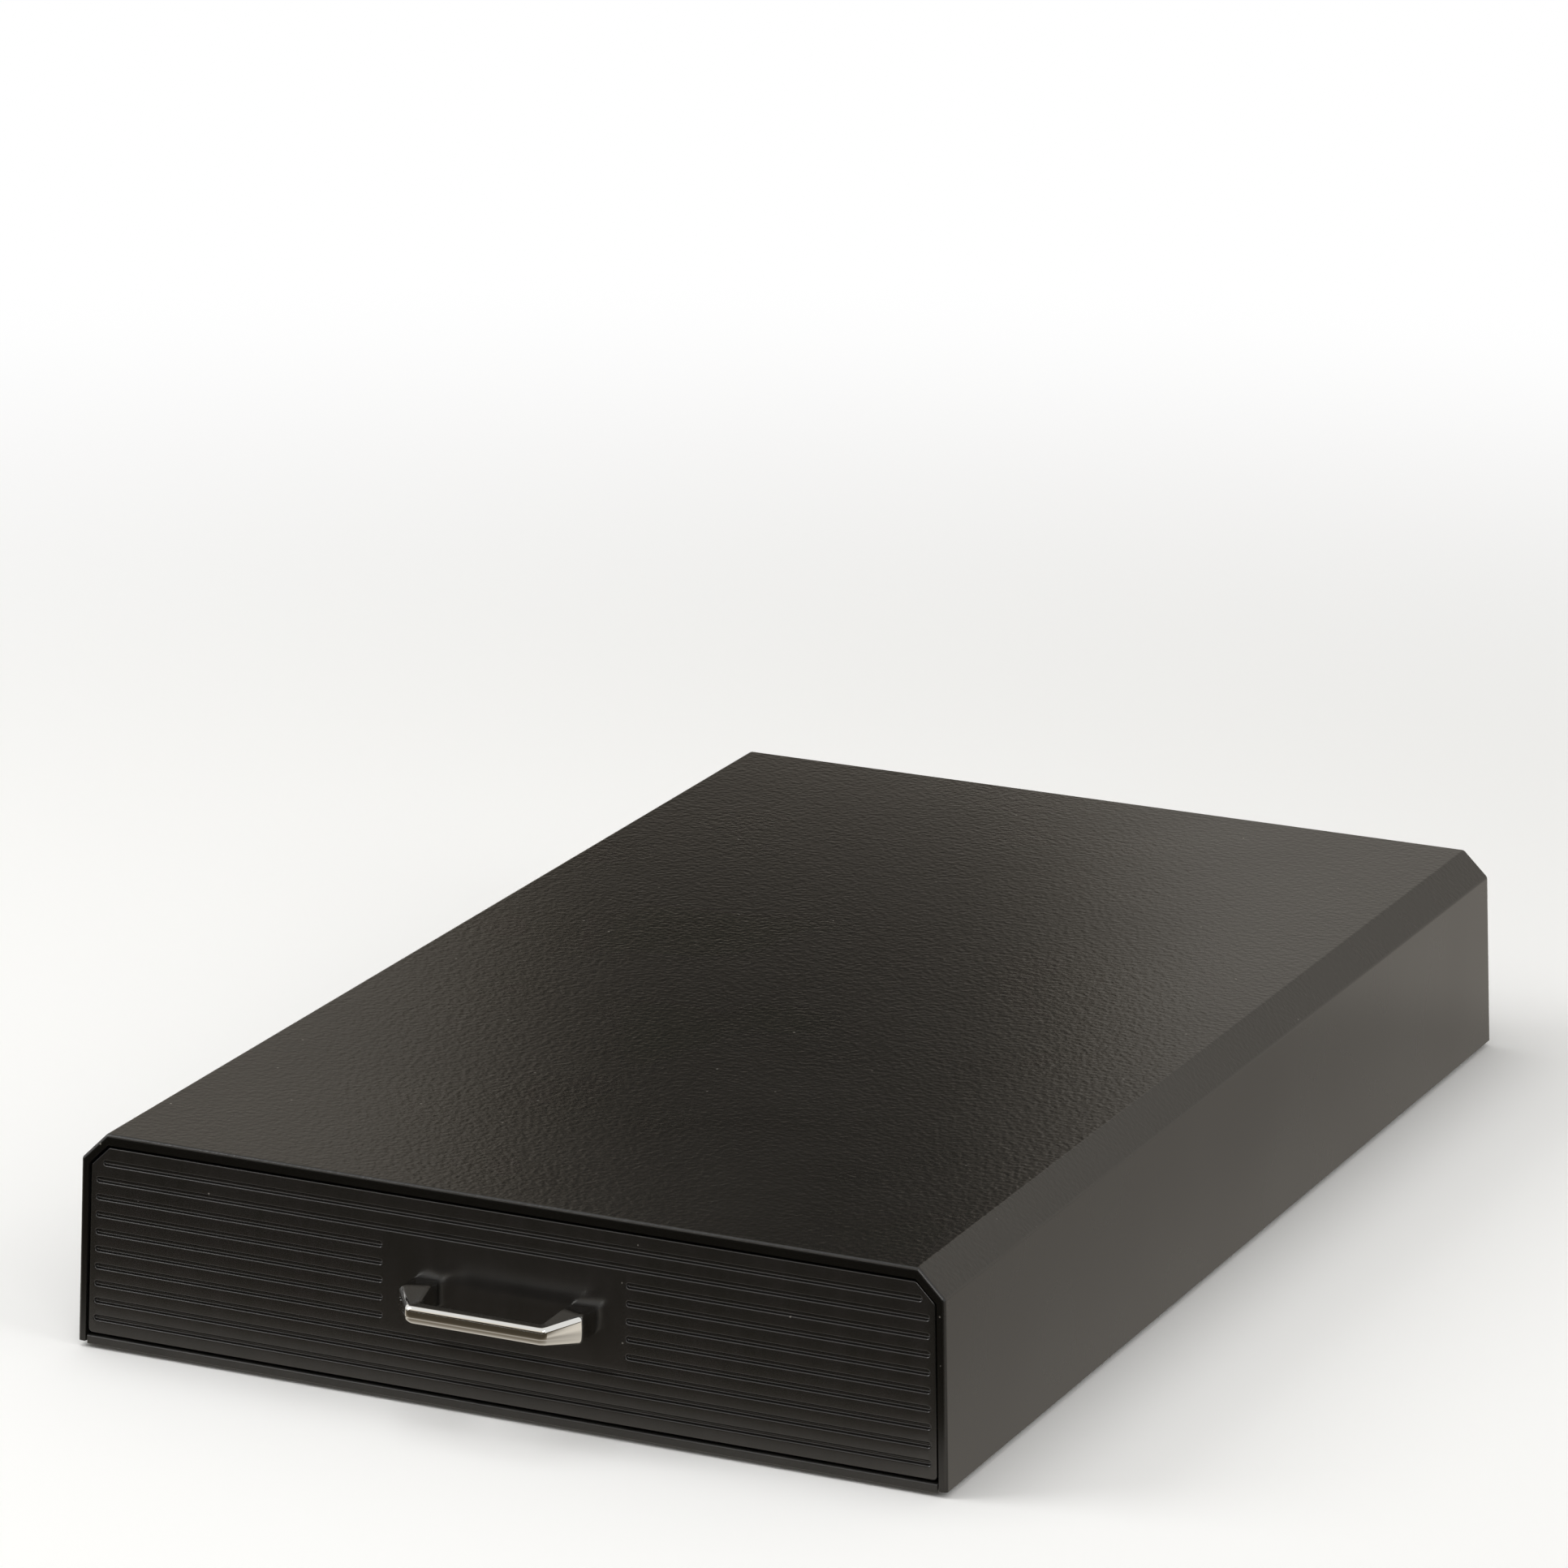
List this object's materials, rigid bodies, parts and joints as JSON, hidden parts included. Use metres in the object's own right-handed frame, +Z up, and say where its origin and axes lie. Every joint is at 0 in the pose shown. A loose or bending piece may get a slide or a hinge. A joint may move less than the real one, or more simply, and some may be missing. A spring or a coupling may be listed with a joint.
{
  "type": "coffee pod drawer",
  "caption": "Flat platform drawer for coffee pods: moulded shell with chamfered shoulders, ribbed inset drawer front with a chrome bow handle, and a tray parted into pod lanes.",
  "frame": {"origin": "middle of the closed drawer's whole footprint, handle included, on the table", "axes": "+Z up, +Y from the drawer front to the back wall, +X to the right seen from the front"},
  "size_m": [0.2342, 0.4008, 0.0566],
  "materials": {
    "shell_abs": "black ABS, fine pebbled mould texture on top, satin sides",
    "base_abs": "black ABS, satin",
    "front_abs": "black ABS, semi-gloss",
    "tray_abs": "black ABS, satin",
    "divider_abs": "black ABS, satin",
    "runner_pom": "dark acetal, waxy",
    "foot_rubber": "matt rubber",
    "zinc_screw": "bright zinc plated",
    "handle_chrome": "polished chrome plate on zinc die-cast"
  },
  "bodies": {
    "housing": {"platform_shell": "shell_abs", "base_plate": "base_abs", "runner_left": "runner_pom", "runner_right": "runner_pom", "foot_front_left": "foot_rubber", "foot_front_right": "foot_rubber", "foot_back_left": "foot_rubber", "foot_back_right": "foot_rubber", "base_screws": "zinc_screw", "runner_screws": "zinc_screw"},
    "drawer": {"drawer_tray": "tray_abs", "lane_divider_1": "divider_abs", "lane_divider_2": "divider_abs", "lane_divider_3": "divider_abs", "lane_divider_4": "divider_abs", "drawer_front": "front_abs", "bow_handle": "handle_chrome", "front_screws": "zinc_screw", "handle_screws": "zinc_screw"}
  },
  "joints": [
    {"name": "drawer_slide", "type": "slide", "parent": "housing", "child": "drawer", "axis": [0, -1, 0], "range_m": [0, 0.2968]}
  ]
}
